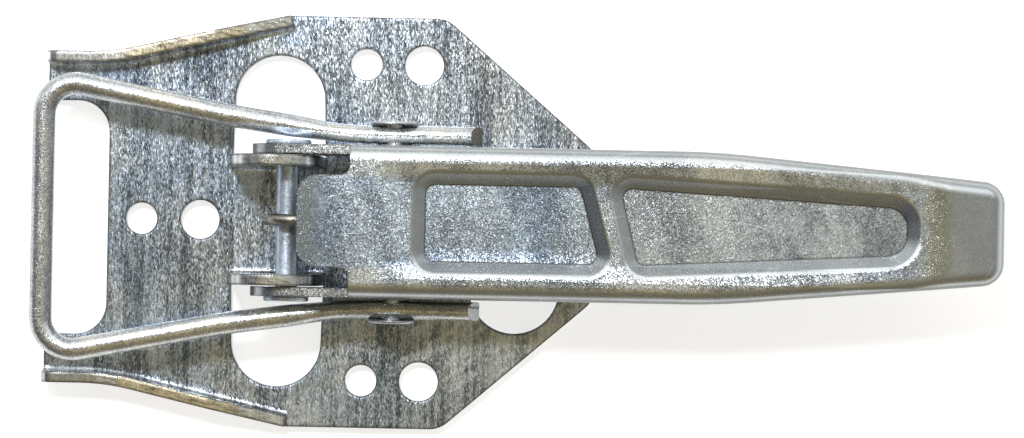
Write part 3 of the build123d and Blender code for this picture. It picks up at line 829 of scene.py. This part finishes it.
def tube(name: str, centres: np.ndarray, radius: float, around: int) -> Piece:
    """A round wire along a path that sets off square to Y.

    Each ring is centre + radius (cos a N + sin a B). The frame N, B is carried along the path by turning it
    at each step as little as the tangent asks, so that the wire doesn't twist.

    Args:
        name: the piece's name.
        centres: points of the path, one row each.
        radius: the wire's radius.
        around: points on each ring.

    Returns:
        The object.
    """
    tangents = np.gradient(centres, axis=0)
    tangents /= np.linalg.norm(tangents, axis=1)[:, None]
    normal = np.cross(tangents[0], (0.0, 1.0, 0.0))
    normals = np.empty_like(centres)
    for i, tangent in enumerate(tangents):
        normal = normal - tangent * (normal @ tangent)
        normal /= np.linalg.norm(normal)
        normals[i] = normal
    sides = np.cross(tangents, normals)
    turn = np.linspace(0.0, 2 * np.pi, around, endpoint=False)
    ring = np.cos(turn)[None, :, None] * normals[:, None, :] + np.sin(turn)[None, :, None] * sides[:, None, :]
    points = centres[:, None, :] + radius * ring
    bulge = 0.15 * radius
    poles = np.stack([centres[0] - bulge * tangents[0], centres[-1] + bulge * tangents[-1]])
    return capped(name, points, poles)


def turned(name: str, profile: np.ndarray, x: float, z: float, around: int) -> Piece:
    """A turned piece about an axis along Y.

    The profile (r, y) is swept round: point = (x + r cos a, y, z + r sin a). Poles on the axis close it.

    Args:
        name: the piece's name.
        profile: rows of radius and y, in order of growing arc length from one pole to the other.
        x: place of the axis.
        z: place of the axis.
        around: points on each ring.

    Returns:
        The object.
    """
    turn = np.linspace(0.0, 2 * np.pi, around, endpoint=False)
    r, y = profile[:, 0], profile[:, 1]
    points = np.stack(
        [x + r[:, None] * np.cos(turn), np.repeat(y[:, None], around, 1), z + r[:, None] * np.sin(turn)], -1
    )
    if y[-1] > y[0]:
        points = points[:, ::-1]
    return capped(name, points, np.array([[x, y[0], z], [x, y[-1], z]]))


def rounded_profile(corners: list[tuple[float, float]], radii: list[float]) -> np.ndarray:
    """A profile of straight runs with rounded corners.

    Each inner corner C is cut back by its setback along both runs, to A and to B, and the arc between them is
    the quadratic curve (1-t)^2 A + 2 t (1-t) C + t^2 B.

    Args:
        corners: the polyline's points (r, y).
        radii: setback at each inner corner.

    Returns:
        The profile as rows.
    """
    points = np.array(corners, float)
    t = np.linspace(0.0, 1.0, 6)[:, None]
    runs = [points[:1]]
    for before, corner, after, radius in zip(points, points[1:], points[2:], radii):
        start = corner + (before - corner) * min(1.0, radius / np.linalg.norm(before - corner))
        end = corner + (after - corner) * min(1.0, radius / np.linalg.norm(after - corner))
        runs.append((1 - t) ** 2 * start + 2 * t * (1 - t) * corner + t**2 * end)
    runs.append(points[-1:])
    return np.concatenate(runs)


# ---- the pieces of the latch
@dataclass
class PlatedMeshes:
    """Pieces that keep their CAD meshes and get a finish each."""

    tones: dict[str, SteelTone]

    def build(self, frame: dict, shop: FinishShop) -> list[Piece]:
        """Dresses the CAD nodes.

        Args:
            shop: the finishes.

        Returns:
            The dressed objects.
        """
        pieces = [frame["nodes"][name] for name in self.tones]
        for piece, tone in zip(pieces, self.tones.values()):
            shop.dress(piece, tone)
        return pieces


class PressedSheets(PlatedMeshes):
    """The base plate and the lever, both pressed from sheet."""

    def __init__(self) -> None:
        """Sets their finishes."""
        super().__init__({"base_plate": SteelTone.BASE_SHEET, "lever": SteelTone.LEVER_SHEET})


class WireBail(PlatedMeshes):
    """The wire loop with its flattened legs."""

    def __init__(self) -> None:
        """Sets its finish."""
        super().__init__({"bail": SteelTone.BAIL_WIRE})


@dataclass
class PivotPin:
    """Cross pin of the lever with a thin head at each end."""

    height: float = 20.0 * MM
    radius: float = 3.0 * MM
    head_radius: float = 6.0 * MM
    head_start: float = 20.25 * MM
    head_end: float = 21.45 * MM

    def build(self, shop: FinishShop) -> list[Piece]:
        """Turns the pin.

        Args:
            shop: the finishes.

        Returns:
            The pin.
        """
        half = [
            (0.0, self.head_end),
            (self.head_radius, self.head_end),
            (self.head_radius, self.head_start),
            (self.radius, self.head_start),
        ]
        corners = [*half, *[(r, -y) for r, y in reversed(half)]]
        radii = [0.6 * MM, 0.15 * MM, 0.3 * MM, 0.3 * MM, 0.15 * MM, 0.6 * MM]
        pin = turned("pin_turned", rounded_profile(corners, radii), 0.0, self.height, 64)
        shop.dress(pin, SteelTone.PIN_STEEL)
        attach(pin, "pin")
        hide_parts("pivot_pin")
        return [pin]


@dataclass
class BailRivets:
    """Shouldered rivets through lever wall and bail eye, with struck heads."""

    x: float = 27.9 * MM
    z: float = 16.5 * MM
    shank_radius: float = 2.5 * MM
    head_radius: float = 6.25 * MM
    collar_radius: float = 4.5 * MM
    inner_end: float = 16.15 * MM
    inner_start: float = 17.45 * MM
    collar: tuple[float, float] = (20.25 * MM, 20.6 * MM)
    outer_start: float = 26.0 * MM
    outer_end: float = 26.9 * MM
    dimple_mouth: float = 3.125 * MM
    dimple_floor: float = 1.875 * MM
    dimple_depth: float = 0.3 * MM

    def build(self, shop: FinishShop) -> list[Piece]:
        """Turns both rivets.

        Args:
            shop: the finishes.

        Returns:
            The rivets.
        """
        shank, collar, head = self.shank_radius, self.collar_radius, self.head_radius
        dimple_y = self.outer_end - self.dimple_depth
        corners = [
            (0.0, self.inner_end),
            (head, self.inner_end),
            (head, self.inner_start),
            (shank, self.inner_start),
            (shank, self.collar[0]),
            (collar, self.collar[0]),
            (collar, self.collar[1]),
            (shank, self.collar[1]),
            (shank, self.outer_start),
            (head, self.outer_start),
            (head, self.outer_end),
            (self.dimple_mouth, self.outer_end),
            (self.dimple_floor, dimple_y),
            (0.0, dimple_y),
        ]
        radii = [q * MM for q in (0.6, 0.2, 0.1, 0.1, 0.05, 0.05, 0.1, 0.1, 0.2, 0.7, 0.5, 0.4)]
        pieces = []
        for side, node in ((1.0, "bail_rivet_left"), (-1.0, "bail_rivet_right")):
            profile = rounded_profile([(r, side * y) for r, y in corners], radii)
            rivet = turned(node.replace("bail_rivet", "rivet_struck"), profile, self.x, self.z, 56)
            shop.dress(rivet, SteelTone.RIVET_STEEL)
            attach(rivet, "rivets")
            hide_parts(node)
            pieces.append(rivet)
        return pieces


@dataclass
class PullSpring:
    """Extension spring between the pivot pin and the anchor tab of the base."""

    wire_radius: float = 1.7 * MM
    loop_radius: float = 6.75 * MM
    pitch: float = 3.6 * MM
    turns: float = 8.0 - 30.0 / 360.0
    hook_wrap: float = math.radians(40.0)
    hook_swing: float = math.radians(60.0)
    hook_lead: float = 5.0 * MM
    turn_steps: int = 48
    pin_hook: tuple[float, float] = (1.95 * MM, 20.0 * MM)
    tab_hook: tuple[float, float] = (60.25 * MM, 14.5 * MM)

    def hook(self, start: float) -> np.ndarray:
        """The near hook with its shank, round the spring's axis Z.

        An arc r (cos a, 0, sin a) from -180 - wrap degrees to 0, a straight shank up to the coil's start less
        the lead, and a Hermite curve with weights 2t^3 - 3t^2 + 1, t^3 - 2t^2 + t, 3t^2 - 2t^3 and t^3 - t^2
        on its ends and end headings.

        Args:
            start: height at which the coil starts.

        Returns:
            The path as rows.
        """
        r = self.loop_radius
        climb = math.atan2(self.pitch, 2 * math.pi * r)
        a = np.linspace(-math.pi - self.hook_wrap, 0.0, self.turn_steps)
        arc = np.stack([r * np.cos(a), 0 * a, r * np.sin(a)], -1)
        z = np.linspace(0.0, start - self.hook_lead, 10)[1:]
        shank = np.stack([0 * z + r, 0 * z, z], -1)
        leave = shank[-1]
        c, s = math.cos(self.hook_swing), math.sin(self.hook_swing)
        meet = np.array([r * c, r * s, start])
        heading = np.array([-s * math.cos(climb), c * math.cos(climb), math.sin(climb)])
        reach = np.linalg.norm(meet - leave)
        t = np.linspace(0.0, 1.0, 16)[1:-1, None]
        bend = (
            (2 * t**3 - 3 * t**2 + 1) * leave
            + (t**3 - 2 * t**2 + t) * np.array([0.0, 0.0, reach])
            + (3 * t**2 - 2 * t**3) * meet
            + (t**3 - t**2) * heading * reach
        )
        return np.concatenate([arc, shank, bend])

    def local_path(self, span: float) -> np.ndarray:
        """Centre line with the spring's axis along Z.

        The coil is (r cos a, r sin a, start + pitch a / 360). The far hook is the near one with x and y
        exchanged and z counted back from the span.

        Args:
            span: distance of the two hooks' centres.

        Returns:
            The path as rows.
        """
        r = self.loop_radius
        start = (span - self.turns * self.pitch) / 2
        near = self.hook(start)
        a = np.linspace(0.0, 2 * math.pi * self.turns, int(self.turn_steps * self.turns))
        swing = self.hook_swing + a
        coil = np.stack([r * np.cos(swing), r * np.sin(swing), start + self.pitch * a / (2 * math.pi)], -1)
        far = np.stack([near[:, 1], near[:, 0], span - near[:, 2]], -1)[::-1]
        return np.concatenate([near, coil, far])

    def build(self, shop: FinishShop) -> list[Piece]:
        """Winds the spring between the pin and the anchor tab.

        Args:
            shop: the finishes.

        Returns:
            The spring.
        """
        run = self.tab_hook[0] - self.pin_hook[0]
        drop = self.pin_hook[1] - self.tab_hook[1]
        fall = math.atan2(drop, run)
        local = self.local_path(math.hypot(run, drop) - self.loop_radius)
        upward = np.array([math.sin(fall), 0.0, math.cos(fall)])
        along = np.array([math.cos(fall), 0.0, -math.sin(fall)])
        origin = np.array([self.pin_hook[0], 0.0, self.pin_hook[1]])
        sideways = np.array([0.0, -1.0, 0.0])
        path = origin + local[:, :1] * upward + local[:, 1:2] * sideways + local[:, 2:] * along
        spring = tube("spring_wound", path, self.wire_radius, 20)
        shop.dress(spring, SteelTone.SPRING_STEEL)
        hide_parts("spring")
        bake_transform(spring)
        return [spring]


# ---- studio
@dataclass
class CameraRig:
    """Camera straight above the latch."""

    place: tuple[float, float, float] = (0.0598, -0.0093, 0.850)
    roll: float = 1.15
    lens: float = 110.0
    shift_y: float = 0.04

    def build(self) -> None:
        """Makes the scene's camera."""
        data = bpy.data.cameras.new("camera")
        data.lens = self.lens
        data.shift_y = self.shift_y
        camera = bpy.data.objects.new("camera", data)
        camera.location = self.place
        camera.rotation_euler = (0.0, 0.0, math.radians(self.roll))
        bpy.context.scene.collection.objects.link(camera)
        bpy.context.scene.camera = camera


@dataclass
class SoftPanel:
    """A square soft light that faces the latch."""

    name: str = "key_panel"
    bearing: float = 114.0
    elevation: float = 64.0
    distance: float = 1.3
    size: float = 0.16
    power: float = 9.1
    colour: Colour = (0.97, 0.99, 1.0)
    aim: tuple[float, float, float] = (0.06, 0.0, 0.01)

    def build(self) -> None:
        """Hangs the panel."""
        data = bpy.data.lights.new(self.name, "AREA")
        data.shape = "SQUARE"
        data.size = self.size
        data.energy = self.power
        data.color = self.colour
        light = bpy.data.objects.new(self.name, data)
        up, turn = math.radians(self.elevation), math.radians(self.bearing)
        toward = (math.cos(up) * math.cos(turn), math.cos(up) * math.sin(turn), math.sin(up))
        light.location = tuple(a + self.distance * b for a, b in zip(self.aim, toward))
        light.rotation_euler = (math.pi / 2 - up, 0.0, turn + math.pi / 2)
        bpy.context.scene.collection.objects.link(light)


@dataclass
class Studio:
    """Pale floor and a room with a tall window on its +Y side.

    The ramps are places on the unit sphere of directions, between which one part of the room fades into the
    next.
    """

    floor_size: float = 12.0
    floor_z: float = -0.6 * MM
    floor_grey: Colour = (0.6, 0.6, 0.6)
    floor_glow: float = 0.7
    zenith: Colour = (0.12, 0.10, 0.07)
    warm_zenith: Colour = (0.53, 0.41, 0.18)
    far_zenith: Colour = (0.50, 0.46, 0.35)
    behind: Colour = (0.07, 0.075, 0.09)
    ahead: Colour = (0.38, 0.38, 0.35)
    dim_side: Colour = (0.26, 0.22, 0.13)
    window_foot: Colour = (0.62, 0.63, 0.62)
    window: Colour = (2.00, 2.02, 2.00)
    horizon: Colour = (1.00, 1.00, 1.00)
    behind_ahead: Ramp = (-0.5, 0.5)
    dim_across: Ramp = (-0.15, -0.6)
    dim_along: Ramp = (-0.65, -0.15)
    window_across: Ramp = (0.08, 0.45)
    window_up: Ramp = (0.25, 0.55)
    warm_across: Ramp = (0.12, -0.22)
    far_along: Ramp = (0.06, 0.36)
    zenith_up: Ramp = (0.75, 0.91)
    horizon_up: Ramp = (0.09, 0.15)

    def floor(self) -> None:
        """Pale floor that shows white in glossy surfaces and to the camera, and keeps a shadow."""
        half = self.floor_size / 2
        points = np.array([[-half, -half, 0], [half, -half, 0], [half, half, 0], [-half, half, 0]], float)
        points[:, 2] = self.floor_z
        floor = new_piece("floor", points, [[0, 1, 2, 3]])
        material = bpy.data.materials.new("pale_floor")
        material.use_nodes = True
        board = NodeBoard(material.node_tree)
        paths = board.add("LightPath").outputs
        seen = board.calc("MAXIMUM", paths["Is Camera Ray"], paths["Is Glossy Ray"])
        seen = board.calc("MAXIMUM", seen, paths["Is Transmission Ray"])
        paint = board.add("BsdfPrincipled", Base_Color=self.floor_grey, Roughness=0.9)
        glow = board.add("Emission", Color=(1.0, 1.0, 1.0), Strength=board.product(seen, self.floor_glow))
        both = board.fed("AddShader", {}, {0: paint.outputs[0], 1: glow.outputs[0]})
        board.add("OutputMaterial", Surface=both.outputs[0])
        floor.data.materials.append(material)

    def world(self) -> None:
        """Room light: a white horizon, the window on +Y, dim and warm on -Y, dark overhead."""
        world = bpy.data.worlds.new("room")
        bpy.context.scene.world = world
        world.use_nodes = True
        board = NodeBoard(world.node_tree)
        x, y, z = board.axes(board.add("TexCoord").outputs["Generated"])
        sides = board.mix(board.span(x, *self.behind_ahead), self.behind, self.ahead)
        dim = board.product(board.span(y, *self.dim_across), board.span(x, *self.dim_along))
        sides = board.mix(dim, sides, self.dim_side)
        window = board.mix(board.span(z, *self.window_up), self.window_foot, self.window)
        sides = board.mix(board.span(y, *self.window_across), sides, window)
        above = board.mix(board.span(y, *self.warm_across), self.zenith, self.warm_zenith)
        above = board.mix(board.span(x, *self.far_along), above, self.far_zenith)
        colour = board.mix(board.span(z, *self.zenith_up), sides, above)
        colour = board.mix(board.span(z, *self.horizon_up), self.horizon, colour)
        back = board.add("Background", Color=colour, Strength=1.0)
        board.add("OutputWorld", Surface=back.outputs[0])


def main() -> None:
    """Builds the latch, its finishes and the studio."""
    logging.basicConfig(level=logging.INFO, format="%(name)s: %(message)s")
    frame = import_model()
    CameraRig().build()
    studio = Studio()
    studio.floor()
    studio.world()
    SoftPanel().build()
    bpy.context.scene.view_settings.view_transform = "Standard"
    shop = FinishShop()
    pieces = [
        *PressedSheets().build(frame, shop),
        *WireBail().build(frame, shop),
        *PivotPin().build(shop),
        *BailRivets().build(shop),
        *PullSpring().build(shop),
    ]
    for piece in pieces:
        LOG.info("%s: %d vertices", piece.name, len(piece.data.vertices))


if __name__ == "__main__":
    main()
